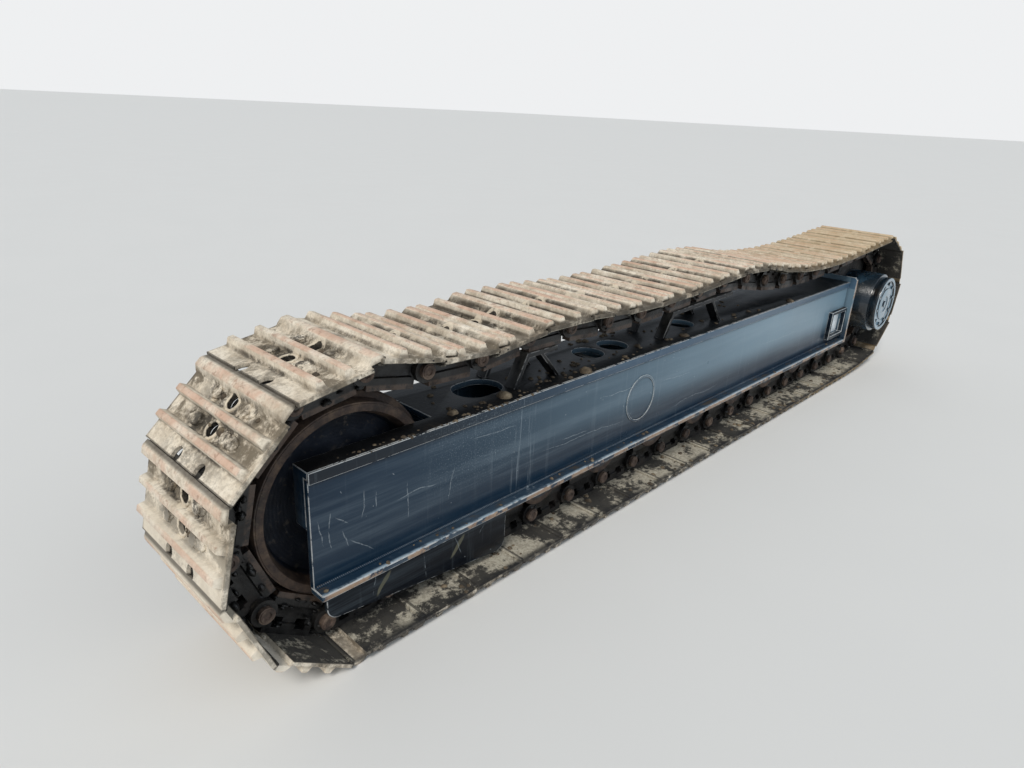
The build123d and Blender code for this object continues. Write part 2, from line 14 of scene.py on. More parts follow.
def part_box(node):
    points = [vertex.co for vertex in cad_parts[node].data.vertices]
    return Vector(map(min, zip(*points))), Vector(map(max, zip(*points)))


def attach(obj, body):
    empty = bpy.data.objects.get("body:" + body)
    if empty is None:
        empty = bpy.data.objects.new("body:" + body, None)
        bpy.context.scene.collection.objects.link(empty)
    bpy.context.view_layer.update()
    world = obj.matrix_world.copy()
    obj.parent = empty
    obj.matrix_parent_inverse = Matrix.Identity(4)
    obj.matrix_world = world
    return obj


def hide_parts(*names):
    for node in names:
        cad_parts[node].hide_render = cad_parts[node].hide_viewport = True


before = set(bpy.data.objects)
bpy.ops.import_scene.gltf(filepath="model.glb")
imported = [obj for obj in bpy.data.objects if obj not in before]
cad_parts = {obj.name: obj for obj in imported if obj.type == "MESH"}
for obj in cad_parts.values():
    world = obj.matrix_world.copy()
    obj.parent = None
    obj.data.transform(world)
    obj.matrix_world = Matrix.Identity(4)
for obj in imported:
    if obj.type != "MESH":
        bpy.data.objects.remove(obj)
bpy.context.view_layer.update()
MM = 0.001
BODY = "root"
random.seed(7)

# Shoe: along u, across y, outwards n, in the link's own frame
SEAT, FACE, CREST = 38.7, 46.7, 62.7
HOOK_ROOT, LIP_END = -39.0, 99.0
HALF_SHOE, SIDE_INSET = 150.0, 5.0
RIBS = (1.3, 54.1)
VALLEYS = (-25.1, 27.7)

# Camera and light
CAMERA_PLACE = (-1.8754, -1.0284, 0.9629)
CAMERA_FORWARD = Vector((0.6829, 0.6354, -0.3603))
CAMERA_RIGHT = Vector((0.6938, -0.7185, 0.0479))
FOCAL_LENGTH, SENSOR_WIDTH = 24.99, 36.0
SKY_TINT, SKY_POWER = (0.82, 0.90, 1.0, 1), 0.46
BACKDROP = (0.86, 0.87, 0.88, 1)
# Name, direction of the rays, power, apparent size in degrees, tint
LAMPS = (
    ("key_light", (0.80, 0.42, -1.0), 2.35, 18, (1.0, 0.96, 0.90)),
    ("fill_light", (-0.3, 1.0, -0.5), 0.65, 60, (0.86, 0.93, 1.0)),
)


def new_object(name, data):
    """A new object, linked to the scene."""
    made = bpy.data.objects.new(name, data)
    bpy.context.scene.collection.objects.link(made)
    return made


def place_camera():
    """Camera at the picture's viewing angle."""
    up = CAMERA_RIGHT.cross(CAMERA_FORWARD).normalized()
    lens = bpy.data.cameras.new("studio_camera")
    lens.lens = FOCAL_LENGTH
    lens.sensor_width = SENSOR_WIDTH
    lens.sensor_fit = "HORIZONTAL"
    camera = new_object("studio_camera", lens)
    turn = Matrix((CAMERA_RIGHT, up, -CAMERA_FORWARD)).transposed().to_4x4()
    camera.matrix_world = Matrix.Translation(CAMERA_PLACE) @ turn
    bpy.context.scene.camera = camera
    bpy.context.scene.view_settings.view_transform = "Standard"


def light_world():
    """Soft sky light, with a paler backdrop where the camera sees past the floor."""
    world = bpy.data.worlds.new("studio_world")
    bpy.context.scene.world = world
    world.use_nodes = True
    tree = world.node_tree
    soft = tree.nodes["Background"]
    soft.inputs["Color"].default_value = SKY_TINT
    soft.inputs["Strength"].default_value = SKY_POWER
    pale = tree.nodes.new("ShaderNodeBackground")
    pale.inputs["Color"].default_value = BACKDROP
    pale.inputs["Strength"].default_value = 1.0
    path = tree.nodes.new("ShaderNodeLightPath")
    mix = tree.nodes.new("ShaderNodeMixShader")
    tree.links.new(path.outputs["Is Camera Ray"], mix.inputs["Fac"])
    tree.links.new(soft.outputs["Background"], mix.inputs[1])
    tree.links.new(pale.outputs["Background"], mix.inputs[2])
    tree.links.new(mix.outputs["Shader"], tree.nodes["World Output"].inputs["Surface"])


def hang_lamps():
    """Broad key and fill lamps."""
    for name, aim, power, angle, tint in LAMPS:
        lamp = bpy.data.lights.new(name, "SUN")
        lamp.energy = power
        lamp.angle = radians(angle)
        lamp.color = tint
        holder = new_object(name, lamp)
        holder.matrix_world = Vector(aim).to_track_quat("-Z", "Y").to_matrix().to_4x4()


place_camera()
light_world()
hang_lamps()


# Materials: one class for a shader value, one for a finish
def tone(code):
    """A colour written as on paper, made linear."""
    parts = [int(code[i : i + 2], 16) / 255 for i in (1, 3, 5)]
    return tuple(p / 12.92 if p <= 0.04045 else ((p + 0.055) / 1.055) ** 2.4 for p in parts) + (1.0,)


class Signal:
    """One output of a shader node. Arithmetic on it adds Math nodes."""

    def __init__(self, finish, socket):
        self.finish = finish
        self.socket = socket

    def math(self, operation, first, second=0.0, clip=False):
        settings = {"operation": operation, "use_clamp": clip}
        return self.finish.node("Math", settings, {0: first, 1: second})

    def __add__(self, other):
        return self.math("ADD", self, other)

    def __sub__(self, other):
        return self.math("SUBTRACT", self, other)

    def __rsub__(self, other):
        return self.math("SUBTRACT", other, self)

    def __mul__(self, other):
        return self.math("MULTIPLY", self, other)

    __radd__ = __add__
    __rmul__ = __mul__

    def power(self, other):
        return self.math("POWER", self, other)

    def most(self, other):
        return self.math("MAXIMUM", self, other)

    def least(self, other):
        return self.math("MINIMUM", self, other)

    def size(self):
        return self.math("ABSOLUTE", self)

    def sine(self):
        return self.math("SINE", self)

    def clipped(self):
        return self.math("ADD", self, 0.0, True)

    def step(self, low, high, start=0.0, end=1.0):
        """Smooth rise from start at low to end at high."""
        settings = {"interpolation_type": "SMOOTHSTEP"}
        sockets = {"Value": self, "From Min": low, "From Max": high, "To Min": start, "To Max": end}
        return self.finish.node("MapRange", settings, sockets)


class Finish:
    """A material built from nodes for one finish of the unit."""

    def __init__(self, name, **constants):
        self.material = bpy.data.materials.new(name)
        self.material.use_nodes = True
        self.tree = self.material.node_tree
        self.shader = self.tree.nodes["Principled BSDF"]
        for key, value in constants.items():
            self.shader.inputs[key.replace("_", " ")].default_value = value
        self.place = self.node("TexCoord", output="Object")
        self.x, self.y, self.z = self.parts(self.place)

    def node(self, kind, settings=(), inputs=(), output=0):
        made = self.tree.nodes.new("ShaderNode" + kind)
        for key, value in dict(settings).items():
            if key == "stops":
                self.set_stops(made, value)
            else:
                setattr(made, key, value)
        for key, value in dict(inputs).items():
            if isinstance(value, Signal):
                self.tree.links.new(value.socket, made.inputs[key])
            else:
                made.inputs[key].default_value = value
        return Signal(self, made.outputs[output])

    @staticmethod
    def set_stops(made, stops):
        ramp = made.color_ramp
        while len(ramp.elements) < len(stops):
            ramp.elements.new(0.5)
        for element, (place, code) in zip(ramp.elements, stops):
            element.position = place
            element.color = tone(code)

    def parts(self, vector):
        """The x, y and z of a vector."""
        split = self.node("SeparateXYZ", inputs={0: vector}).socket.node
        return [Signal(self, output) for output in split.outputs]

    def stretched(self, scale, turn=(0, 0, 0)):
        """Object coordinates scaled by axis and turned."""
        inputs = {"Vector": self.place, "Scale": scale, "Rotation": turn}
        return self.node("Mapping", inputs=inputs)

    def noise(self, scale, detail=5.0, rough=0.7, at=None, output=0):
        inputs = {"Vector": at or self.place, "Scale": scale, "Detail": detail, "Roughness": rough}
        return self.node("TexNoise", inputs=inputs, output=output)

    def cells(self, scale, at=None):
        """Distance to the nearest of many scattered points."""
        inputs = {"Vector": at or self.place, "Scale": scale}
        return self.node("TexVoronoi", inputs=inputs, output="Distance")

    def attribute(self, name):
        """The parts of a vector stored in the mesh."""
        return self.parts(self.node("Attribute", {"attribute_name": name}, output="Vector"))

    def blend(self, share, first, second):
        """The first colour under a share of the second."""
        first, second = (tone(side) if isinstance(side, str) else side for side in (first, second))
        return self.node("Mix", {"data_type": "RGBA"}, {0: share, 6: first, 7: second}, 2)

    def lay(self, share, over):
        """Lay a colour over what is there, by a share."""
        self.colour = self.blend(share, self.colour, over)

    def ramp(self, value, *stops):
        """A colour by value, through stops of (place, colour)."""
        return self.node("ValToRGB", {"stops": stops}, {0: value})

    def facing(self):
        return self.parts(self.node("NewGeometry", output="Normal"))

    def facing_up(self):
        return self.facing()[2]

    def scratch(self, at, line, width):
        """One tapering mark on an upright face, along a line (x, z, x, z) in millimetres."""
        x0, z0, x1, z1, width = (value * MM for value in (*line, width))
        half = hypot(x1 - x0, z1 - z0) / 2
        inputs = {
            "Vector": at,
            "Location": ((x0 + x1) / 2, 0, (z0 + z1) / 2),
            "Rotation": (0, atan2(z0 - z1, x1 - x0), 0),
            "Scale": (half, 1, width),
        }
        local = self.node("Mapping", {"vector_type": "TEXTURE"}, inputs)
        settings = {"gradient_type": "SPHERICAL"}
        return self.node("TexGradient", settings, {"Vector": local}, 1).step(0.0, 0.35)

    def vector_math(self, operation, first, second):
        return self.node("VectorMath", {"operation": operation}, {0: first, 1: second})

    def scratches(self, lines, width):
        """All marks of a list, on coordinates that wander a little."""
        centred = self.vector_math("SUBTRACT", self.noise(11.0, 3.0, 0.55, output=1), (0.5, 0.5, 0.5))
        wander = self.vector_math("MULTIPLY", centred, (0.024, 0.024, 0.024))
        at = self.vector_math("ADD", self.place, wander)
        flat = self.vector_math("MULTIPLY", at, (1, 0, 1))
        total = self.scratch(flat, lines[0], width)
        for line in lines[1:]:
            total = total.most(self.scratch(flat, line, width))
        return total

    def feed(self, rough, normal=None):
        """The finished material, its varying values linked to the shader."""
        for key, value in (("Base Color", self.colour), ("Roughness", rough), ("Normal", normal)):
            if value:
                self.tree.links.new(value.socket, self.shader.inputs[key])
        return self.material

    def bumped(self, height, depth, strength=1.0, under=None):
        inputs = {"Height": height, "Distance": depth, "Strength": strength}
        if under is not None:
            inputs["Normal"] = under
        return self.node("Bump", inputs=inputs)


def shoe_clay():
    """Dried clay over cast shoes, rubbed to rust on the crests and dark in the valleys from dirt and
    painted shade.
    """
    f = Finish("shoe_clay")
    along, across, out = f.attribute("shoe_place")
    patch = f.noise(8.0, 5.0, 0.6)
    grain = f.noise(150.0, 6.0)
    clods = f.noise(38.0, 5.0, 0.65)

    # Places on the unit and on the shoe, each from 0 to 1
    run = f.z.step(0.47, 0.53) * f.x.step(-1.22, -0.80)
    front = f.x.step(-1.37, -1.44) * f.z.step(0.36, 0.28)
    ground = f.z.step(0.080, 0.060) * f.x.step(-1.34, -1.28)
    lip = along.step(0.064, 0.070)
    off_line = (along - VALLEYS[0] * MM).size().least((along - VALLEYS[1] * MM).size())
    off_hole = (off_line * off_line + across * across).power(0.5)
    trough = off_line.step(0.022, 0.010)
    low = out.step(0.056, 0.050).most(trough * out.step(0.0605, 0.0590))
    middle = across.size().step(0.128, 0.040)
    crest = out.step(0.0590, 0.0618)
    face = out.step(0.0400, 0.0412)
    inner = out.step(0.0405, 0.0392)

    # Clay
    f.colour = f.ramp(
        clods * 0.5 + patch * 0.5,
        (0.30, "#9c8e7b"), (0.43, "#c3b6a2"), (0.54, "#ded3c0"), (0.70, "#ede5d6"),
    )
    f.lay(grain.step(0.46, 0.62) * 0.35, "#8b8071")

    # Dirt between the ribs, with painted shade in the valleys
    grey = f.noise(17.0, 6.0, 0.75).step(0.44, 0.56)
    f.lay(grey * low * (0.35 + trough * 0.6) * (1.0 - lip * 0.75), "#6d6353")
    dirt = f.noise(30.0, 6.0, 0.8).step(0.45, 0.58) * middle * low
    f.lay(dirt * (1.0 - lip * 0.45) * 0.92, "#332e26")
    # Painted shade: darker valleys between the ribs, in patches, away from the hole lines and the lip
    shade = low * (1.0 - trough) * (1.0 - lip) * f.noise(24.0).step(0.40, 0.60)
    f.lay(shade * 0.62, "#463e33")
    # Darker still in the valleys of the top run: packed mud and painted shade
    top_valley_mud_and_shade = run * low * f.noise(15.0).step(0.30, 0.52)
    f.lay(top_valley_mud_and_shade * 0.86, "#3d362c")

    # Pale collars round the holes, with painted shade inside them
    collar = off_hole.step(0.0210, 0.0190) * out.step(0.0462, 0.0474)
    f.lay(collar * f.noise(45.0, 4.0, 0.6).step(0.36, 0.48) * 0.75, "#dccfb9")
    # Painted shade inside the holes
    f.lay(off_hole.step(0.0131, 0.0125) * 0.9, "#15120f")

    # Worn crests, and painted light on the front shoes
    rub = crest * f.noise(11.0, 5.0, 0.62).step(0.38, 0.60)
    f.lay(rub * 0.72, "#c7a088")
    bare = crest * f.noise(60.0, 4.0, 0.75).step(0.53, 0.66)
    f.lay(bare * 0.55, "#92705d")
    # Painted light: the front shoes' faces paler, over the valley dirt and shade
    painted_front_light = f.blend(patch, "#cfc4b1", "#efe7d8")
    f.lay(front * face * (1.0 - rub * 0.7) * 0.62, painted_front_light)

    # Sooty inner side, darker with painted shade where the shoes turn round the wheels, and painted shade,
    # near black, behind the links
    # Painted shade: the inner side black where the shoes turn round the idler and the sprocket
    rear_inner_shade = f.x.step(1.16, 1.24) * f.noise(26.0).step(0.68, 0.52)
    front_inner_shade = f.x.step(-1.17, -1.22) * f.noise(30.0).step(0.62, 0.50)
    # Patchy soot, with the painted shade at both turns
    soot_and_shade = f.noise(9.0, 6.0, 0.78).step(0.47, 0.55).most(front_inner_shade).most(rear_inner_shade)
    under = f.blend(soot_and_shade * 0.96, f.blend(grain.step(0.4, 0.6), "#8f897b", "#b0aa9a"), "#141516")
    f.lay(inner * 0.97, under)
    # Painted shade, near black, on everything under the shoe between the links
    shade_behind_links = out.step(0.0378, 0.0365) * across.size().step(0.058, 0.055)
    f.lay(shade_behind_links, "#060606")

    # Dark seams, ends and ground-side rims
    seam = along.step(-0.060, -0.066).most(along.step(0.0955, 0.0975))
    f.lay(seam * 0.75, "#25221d")
    ends = across.size().step(0.1440, 0.1475) * f.noise(30.0, 5.0, 0.75).step(0.42, 0.58)
    f.lay(ends * 0.6, "#403b33")
    rim = across.size().step(0.128, 0.147) * ground * f.noise(26.0, 5.0, 0.75).step(0.36, 0.50)
    f.lay(rim * 0.88, "#17181a")

    # Browner clay to the rear
    f.lay(f.x.step(0.0, 1.2) * face * 0.55, f.blend(low * 0.7, "#b39a70", "#6b5636"))

    height = clods * (0.35 + middle * low * 0.9) * 0.6 + grain * 0.22 + dirt * 0.4
    bump = f.bumped(height, 0.0030, 0.75)
    fine = f.bumped(f.noise(420.0, 4.0), 0.0008, 0.8, bump)
    rough = f.noise(30.0, 4.0, 0.55).step(0.3, 0.7, 0.98, 0.80) - rub * 0.25
    return f.feed(rough, fine)


def chain_black():
    """Oily black castings with dull rust and clay in the corners."""
    f = Finish("chain_black")
    patch = f.noise(16.0, 6.0, 0.65)
    f.colour = f.ramp(patch, (0.38, "#08090a"), (0.52, "#131211"), (0.66, "#2a231e"), (0.8, "#4b3d31"))
    dust = f.noise(60.0, 5.0, 0.75).step(0.60, 0.70) * f.facing_up().step(0.1, 0.9)
    f.lay(dust * 0.35, "#6d6252")
    rail = f.attribute("link_place")[2].step(-0.0255, -0.0300)
    f.lay(rail * f.noise(40.0).step(0.36, 0.56) * 0.85, "#4f3f34")
    bump = f.bumped(patch * 0.6 + f.noise(110.0, 5.0, 0.72) * 0.5, 0.0026, 0.9)
    return f.feed(patch.step(0.35, 0.7, 0.30, 0.82), bump)


def pin_rust():
    """Grey-brown pin ends under dry dirt, dark where the pin enters the links."""
    f = Finish("pin_rust")
    patch = f.noise(35.0, 6.0)
    f.colour = f.ramp(patch, (0.34, "#241d19"), (0.5, "#4d3e35"), (0.62, "#6f5f52"), (0.78, "#8f8071"))
    f.lay(f.y.size().step(0.070, 0.064) * 0.85, "#0d0c0b")
    bump = f.bumped(patch * 0.7 + f.noise(220.0, 4.0) * 0.3, 0.0016, 0.9)
    return f.feed(patch.step(0.3, 0.7, 0.65, 0.92), bump)


def chip_edges(f, scale, level, edge_wear, share, bare):
    """Bare metal in ragged chips, more of it with more wear."""
    level -= edge_wear * 0.2
    f.lay(f.noise(scale, 5.0, 0.72).step(level, level + 0.08) * share, bare)


def paint(name, dark, pale, marks, edge_wear=0.0, gloss=0.32, bands=()):
    """Gloss paint with a painted sheen that pales it to the rear, dustier there too, with scratches, oily
    muck on top, rust under the lower lip and a painted highlight on its top.
    """
    f = Finish(name, Coat_Weight=gloss * 0.3, Coat_Roughness=0.20, Specular_IOR_Level=gloss)
    broad = f.noise(2.2, 3.0, 0.5)
    muck = f.noise(16.0, 6.0, 0.72)

    # Places on the beam, each from 0 to 1
    rear = f.x.step(-1.35, 0.60)
    top = f.facing_up().step(0.5, 0.9)
    under_lip = f.y.step(-0.1262, -0.1274)

    # Painted sheen that pales the upper web towards the rear, and darker strips
    bend = f.noise(1.6, 2.0, 0.4) * 0.05
    painted_sheen = (f.z + bend).step(0.235, 0.315) * rear * (0.80 + (broad - 0.5) * 0.5)
    f.colour = f.blend(painted_sheen.clipped(), dark, pale)
    f.lay(f.x.step(1.012, 1.018) * 0.35, dark)
    strip = f.y.step(-0.1025, -0.1035) * f.z.step(0.372, 0.375)
    f.lay(strip * 0.75, f.blend(f.x.step(-1.2, -0.3), "#070d14", "#27445e"))

    # Level drifts, upright runs, dust and specks
    drift = f.noise(1.0, at=f.stretched((1.3, 1.3, 26.0))).step(0.44, 0.70)
    f.lay(drift * 0.10, "#9fb0bb")
    streak = f.noise(1.0, at=f.stretched((75.0, 75.0, 3.0))).step(0.55, 0.72)
    zone = (f.x + 0.83).size().step(0.05, 0.01)
    f.lay(streak * (0.05 + zone * 0.45 + rear * 0.07), "#a7b4bc")
    dust = f.noise(30.0, 6.0, 0.78).step(0.62, 0.78)
    f.lay(dust * 0.14, "#77766f")
    spread = (f.x + 0.95).size().step(0.22, 0.05) * f.z.step(0.20, 0.30)
    speckle = f.noise(260.0, 4.0, 0.85).step(0.54, 0.66) * spread
    f.lay(speckle * 0.45, "#8b9aa3")

    # Scratches
    if bands:
        f.lay(f.scratches(bands, BAND_WIDTH) * 0.5, "#7b7862")
    lines = f.scratches(marks, MARK_WIDTH) * f.noise(120.0, 3.0).step(0.34, 0.56)
    leaning = f.stretched((70.0, 1.0, 7.0), (0, radians(5), 0))
    fine = f.cells(1.0, leaning).step(0.05, 0.02) * f.noise(5.0, 4.0, 0.55).step(0.50, 0.62)
    flecks = f.cells(60.0).step(0.085, 0.05) * f.noise(7.0, 3.0, 0.55).step(0.54, 0.62)
    bare = (lines * 0.46).most(fine * 0.40).most(flecks * 0.9)
    f.lay(bare * 0.7, "#a9b3b8")

    # Rust under the lower lip, and a painted highlight on its top
    ragged = f.noise(1.0, at=f.stretched((11.0, 1.0, 14.0))).step(0.46, 0.52)
    f.lay(under_lip * ragged * 0.85, f.blend(f.noise(60.0, 4.0, 0.55), "#6d4f40", "#b29a80"))
    # Painted highlight on the top of the lower lip, in patches and strongest to the rear
    lip_top = f.y.step(-0.118, -0.126) * top
    lip_highlight = f.noise(18.0).step(0.40, 0.58).most(rear * 0.8)
    f.lay(lip_top * lip_highlight * 0.8, "#9db0bd")

    # Muck on the top plate and the lower ledge
    mud = f.ramp(muck, (0.38, "#040506"), (0.54, "#0b0b0c"), (0.64, "#25211c"), (0.76, "#5a5043"))
    f.lay(top * f.z.step(0.36, 0.37) * 0.97, mud)
    ledge = top * f.z.step(0.34, 0.30) * f.y.step(-0.122, -0.116)
    f.lay(ledge * f.noise(12.0).step(0.50, 0.64) * 0.8, "#3b352d")

    if edge_wear:
        chip_edges(f, 34.0, 0.58, edge_wear, 0.85, f.blend(f.noise(90.0, 4.0, 0.55), "#c4ced4", "#8d8378"))
    rough = (broad.step(0.3, 0.7, 0.26, 0.38) + dust * 0.3 + top * 0.22 + bare * 0.25).clipped()
    wavy = f.bumped(f.noise(2.6, 2.0, 0.4), 0.008, 0.35)
    height = f.noise(190.0, 4.0, 0.6) * 0.4 + muck * top * 4.0 - bare * 0.6
    return f.feed(rough, f.bumped(height, 0.0009, 0.7, wavy))


def wheel_rust(name, reach):
    """A dark oily disc up to reach from the shaft, with a rust-brown rim round it."""
    f = Finish(name)
    from_shaft = f.attribute("wheel_place")[0]
    patch = f.noise(28.0, 6.0)
    rust = f.ramp(patch, (0.32, "#1d1714"), (0.48, "#3b2e27"), (0.62, "#574638"), (0.78, "#7c6a59"))
    black = f.ramp(f.noise(11.0, 5.0, 0.6), (0.34, "#0d1016"), (0.55, "#1b212b"), (0.75, "#363b44"))
    rim = from_shaft.step(reach, reach + 0.004)
    f.colour = f.blend(rim * 0.95 + 0.02, black, rust)
    rubbed = f.noise(70.0).step(0.55, 0.70)
    f.lay(rubbed * 0.35, "#6f6557")
    turned = (from_shaft * 900.0).sine() * 0.5 + 0.5
    bump = f.bumped(patch * 0.6 + f.noise(200.0, 4.0) * 0.3 + turned * 0.06, 0.0015, 0.8)
    rough = (0.40 + rim * 0.34 + rubbed * 0.2).clipped()
    return f.feed(rough, bump)


def black_steel(name, edge_wear=0.0):
    """Black steel under grease, dust on what faces up."""
    f = Finish(name)
    patch = f.noise(12.0, 6.0, 0.65)
    f.colour = f.ramp(patch, (0.36, "#08090b"), (0.55, "#15171a"), (0.75, "#2f3135"))
    up = f.facing_up().step(0.2, 0.85)
    dust = (up * 0.7 * f.noise(30.0).step(0.36, 0.60)).clipped()
    f.lay(dust, "#5f5c55")
    if edge_wear:
        chip_edges(f, 36.0, 0.56, edge_wear, 0.8, "#8b8a88")
    bump = f.bumped(patch * 0.5 + f.noise(160.0) * 0.5, 0.0015, 0.7)
    rough = (patch.step(0.35, 0.7, 0.32, 0.6) + dust * 0.3).clipped()
    return f.feed(rough, bump)


def wet_drive():
    """Glossy blue-black paint, wet with oil, with clay thrown on it, and a painted reflection on its
    outermost faces.
    """
    f = Finish("wet_drive", Coat_Weight=0.8, Coat_Roughness=0.06)
    patch = f.noise(9.0, 5.0, 0.6)
    f.colour = f.ramp(patch, (0.34, "#05070a"), (0.54, "#13222d"), (0.74, "#35556a"))
    runs = f.noise(1.0, at=f.stretched((45.0, 45.0, 4.0))).step(0.56, 0.7)
    f.lay(runs * 0.5, "#3d3028")
    # Painted reflection: the outermost outward faces pale blue-grey
    face = (0.0 - f.facing()[1]).step(0.90, 0.98) * f.y.step(-0.15, -0.17)
    f.lay(face * 0.6, "#86a7bb")
    clay = f.noise(20.0, 6.0).step(0.62, 0.70)
    f.lay(clay * 0.6, "#6f6552")
    bump = f.bumped(patch * 0.4 + f.noise(70.0) * 0.4 + clay * 0.5, 0.0022, 0.8)
    rough = (0.16 + patch * 0.2 + clay * 0.6).clipped()
    return f.feed(rough, bump)


def blank_white():
    """Plain white sheet with a few dull runs."""
    f = Finish("blank_white")
    patch = f.noise(14.0, 5.0, 0.6)
    f.colour = f.ramp(patch, (0.3, "#d3dbde"), (0.5, "#eaf0f3"), (0.7, "#f4f8fa"))
    run = f.noise(1.0, 4.0, 0.6, f.stretched((90.0, 90.0, 5.0))).step(0.58, 0.72)
    f.lay(run * 0.3, "#7f8689")
    bump = f.bumped(f.noise(160.0, 3.0, 0.55), 0.0004, 0.5)
    return f.feed(patch.step(0.3, 0.7, 0.35, 0.6), bump)


def loose_clay():
    """Crumbs and cakes of clay."""
    f = Finish("loose_clay")
    patch = f.noise(26.0, 6.0)
    f.colour = f.ramp(patch, (0.34, "#2f2921"), (0.5, "#574c3e"), (0.62, "#7d705c"), (0.78, "#a79a83"))
    bump = f.bumped(patch * 0.5 + f.noise(150.0, 5.0, 0.75) * 0.6, 0.003, 1.0)
    return f.feed(patch.step(0.3, 0.7, 0.85, 0.99), bump)


def floor_grey():
    """Plain pale floor."""
    f = Finish("floor_grey")
    f.colour = f.blend(f.noise(1.2, 3.0, 0.55) * 0.2, "#d6d6d4", "#cbcbc9")
    return f.feed(f.noise(3.0, 4.0, 0.55).step(0.3, 0.7, 0.75, 0.9))


# Scratches and scuffs on the outer side, each from (x, z) to (x, z)
WEB_MARKS = (
    (-1313, 309, -1316, 275), (-1318, 276, -1311, 232), (-1245, 327, -1253, 269),
    (-1221, 317, -1221, 282), (-1145, 310, -1151, 226), (-1306, 297, -1276, 268),
    (-1278, 238, -1225, 193), (-1338, 308, -1326, 243), (-1291, 264, -1278, 221),
    (-1032, 306, -1047, 222), (-790, 245, -422, 233), (-992, 345, -846, 335),
    (-1178, 280, -1069, 278), (-563, 318, -393, 315), (-705, 255, -592, 247),
    (-1294, 341, -1290, 335), (-1180, 337, -1175, 331), (-300, 300, -120, 292),
    (-230, 205, 60, 214), (300, 284, 616, 277), (-921, 305, -917, 290),
    (-462, 277, -455, 268), (-340, 284, -332, 275),
)
GUARD_BANDS = ((-1188, 136, -1225, 86), (-996, 130, -1035, 82))
GUARD_MARKS = (
    (-1225, 139, -1233, 93), (-1025, 134, -1003, 78),
    (-1110, 130, -1100, 70), (-930, 140, -955, 110),
)
MARK_WIDTH, BAND_WIDTH = 1.3, 6.5
NAVY, SLATE = "#0a2336", "#7a95a5"
NIGHT_DARK, NIGHT_PALE = "#050b14", "#0d1824"

CLAY = shoe_clay()
CHAIN = chain_black()
PIN = pin_rust()
BLUE = paint("beam_blue", NAVY, SLATE, WEB_MARKS)
BLUE_EDGE = paint("beam_blue_edge", NAVY, SLATE, WEB_MARKS[:1], 0.9)
NIGHT = paint("guard_blue", NIGHT_DARK, NIGHT_PALE, GUARD_MARKS, gloss=0.12, bands=GUARD_BANDS)
NIGHT_EDGE = paint("guard_blue_edge", NIGHT_DARK, NIGHT_PALE, GUARD_MARKS[:1], 0.5, 0.12)
BLACK = black_steel("black_steel")
BLACK_EDGE = black_steel("black_steel_edge", 0.5)
WET = wet_drive()
WHITE = blank_white()
CRUMBS = loose_clay()


# Workbench
def clear():
    bpy.ops.object.select_all(action="DESELECT")


def alone(piece):
    """Select one piece and nothing else."""
    clear()
    piece.select_set(True)
    bpy.context.view_layer.objects.active = piece


def settled(name):
    """The new primitive, named, with its place and size in its mesh."""
    bpy.ops.object.transform_apply(location=True, rotation=True, scale=True)
    piece = bpy.context.object
    piece.name = name
    return piece


def add_block(name, low, high):
    """A block between two corners."""
    middle = [(a + b) / 2 * MM for a, b in zip(low, high)]
    size = [(b - a) * MM for a, b in zip(low, high)]
    clear()
    bpy.ops.mesh.primitive_cube_add(size=1, location=middle, scale=size)
    return settled(name)


def add_round(name, radius, low, high, sides=32, place=(0, 0), upright=False):
    """A round bar from low to high across the track, or along the shoe's outward direction."""
    middle = (low + high) / 2
    spot = (*place, middle) if upright else (place[0], middle, place[1])
    clear()
    bpy.ops.mesh.primitive_cylinder_add(
        vertices=sides, radius=radius * MM, depth=(high - low) * MM,
        location=[p * MM for p in spot], rotation=(0 if upright else pi / 2, 0, 0),
    )
    return settled(name)


def chamfered(head, inset, rise, wanted):
    """Chamfer the wanted end of a bolt head."""
    open_edit(head)
    pick(head, wanted)
    bpy.ops.mesh.inset(thickness=inset * MM, depth=rise * MM)
    close_edit()
    return head


def hex_head(name, radius, low_y, high_y, place=(0, 0), side=1):
    """A hex bolt head across the track, its outer end on the given side."""
    head = add_round(name, radius, low_y, high_y, 6, place)
    return chamfered(head, radius * 0.14, radius * 0.07, lambda c, n: n.y * side > 0.9)


def at(x, y, z, base=Matrix()):
    """A place in millimetres, in the unit's frame or in a link's."""
    return base @ Matrix.Translation((x * MM, y * MM, z * MM))


def bolt_circle(count, radius, start=0.0, centre=(0, 0)):
    """Places (x, z) round a centre."""
    angles = [start + k * 2 * pi / count for k in range(count)]
    return [(centre[0] + radius * cos(a), centre[1] + radius * sin(a)) for a in angles]


def open_edit(piece):
    alone(piece)
    bpy.ops.object.mode_set(mode="EDIT")
    bpy.ops.mesh.select_mode(type="FACE")


def close_edit():
    bpy.ops.object.mode_set(mode="OBJECT")


def pick(piece, wanted):
    """In edit mode, select the faces whose middle (mm) and normal are wanted."""
    bpy.ops.mesh.select_all(action="DESELECT")
    mesh = bmesh.from_edit_mesh(piece.data)
    for face in mesh.faces:
        if wanted(face.calc_center_median() / MM, face.normal):
            face.select_set(True)
    mesh.select_flush_mode()
    bmesh.update_edit_mesh(piece.data)


def slice_at(axis, places):
    """In edit mode, cut the whole mesh across an axis at each place in millimetres."""
    normal = [float(i == axis) for i in range(3)]
    for place in places:
        bpy.ops.mesh.select_all(action="SELECT")
        bpy.ops.mesh.bisect(plane_co=[place * MM * n for n in normal], plane_no=normal)


def raise_faces(move, scale=(1, 1, 1), centre=(0, 0, 0)):
    """Extrude the selected faces by a move in millimetres, then scale them about a centre."""
    shift = [m * MM for m in move]
    bpy.ops.mesh.extrude_region_move(TRANSFORM_OT_translate={"value": shift})
    bpy.ops.transform.resize(value=scale, center_override=[c * MM for c in centre])


